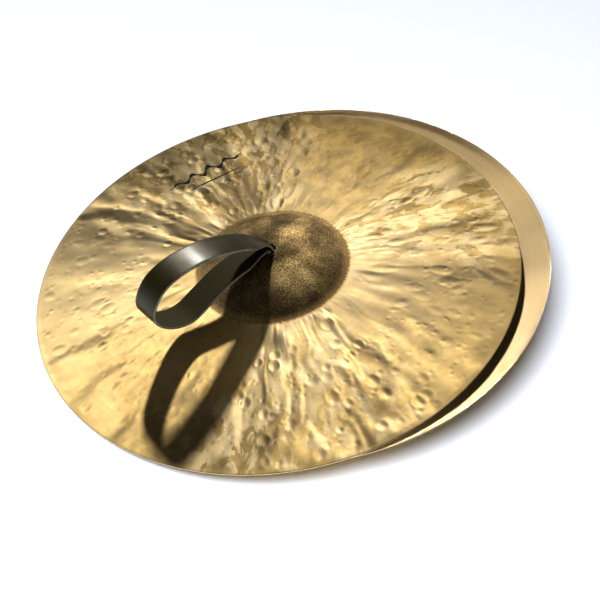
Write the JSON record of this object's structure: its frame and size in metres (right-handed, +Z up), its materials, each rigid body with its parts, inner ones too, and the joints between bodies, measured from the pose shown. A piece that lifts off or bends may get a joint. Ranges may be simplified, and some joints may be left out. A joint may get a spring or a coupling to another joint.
{
  "type": "hand cymbals",
  "caption": "Pair of turned bronze hand cymbals lying face to face, each with a leather hand loop through its centre hole and a square knot inside the bell.",
  "frame": {"origin": "on the floor, below the middle of the pair's bounding box", "axes": "+Z up from the floor; +X from the low side of the leaning pair to its raised side; the front cymbal is shifted towards -X against the rear one"},
  "size_m": [0.4768, 0.4572, 0.1278],
  "materials": {
    "bronze": "hammered and lathed, brilliant, with an unlathed dark bell",
    "leather": "black, satin, with raw cut edges"
  },
  "bodies": {
    "rear_cymbal": {"rear_cymbal": "bronze"},
    "rear_knot": {"rear_strap_throat": "leather", "rear_thong_1": "leather", "rear_thong_2": "leather", "rear_thong_3": "leather", "rear_thong_4": "leather"},
    "rear_strap": {"rear_strap_loop": "leather"},
    "front_cymbal": {"front_cymbal": "bronze"},
    "front_knot": {"front_strap_throat": "leather", "front_thong_1": "leather", "front_thong_2": "leather", "front_thong_3": "leather", "front_thong_4": "leather"},
    "front_strap": {"front_strap_loop": "leather"}
  },
  "joints": [
    {"name": "front_lift", "type": "slide", "parent": "rear_cymbal", "child": "front_cymbal", "axis": [-0.2016, 0, 0.9795], "range_m": [0, 0.3]},
    {"name": "front_strap_swivel", "type": "hinge", "parent": "front_cymbal", "child": "front_knot", "pos_m": [-0.0235, 0, 0.09094], "axis": [-0.2016, 0, 0.9795], "continuous": true},
    {"name": "front_strap_tilt", "type": "hinge", "parent": "front_knot", "child": "front_strap", "pos_m": [-0.02451, 0, 0.09589], "axis": [-0.389, 0.9178, -0.0801], "range_deg": [-5, 120]},
    {"name": "rear_strap_swivel", "type": "hinge", "parent": "rear_cymbal", "child": "rear_knot", "pos_m": [0.02149, 0, 0.006], "axis": [-0.1791, 0, 0.9838], "continuous": true},
    {"name": "rear_strap_tilt", "type": "hinge", "parent": "rear_knot", "child": "rear_strap", "pos_m": [0.02924, 0, 0.00305], "axis": [0, 1, 0], "range_deg": [-3, 78]}
  ]
}
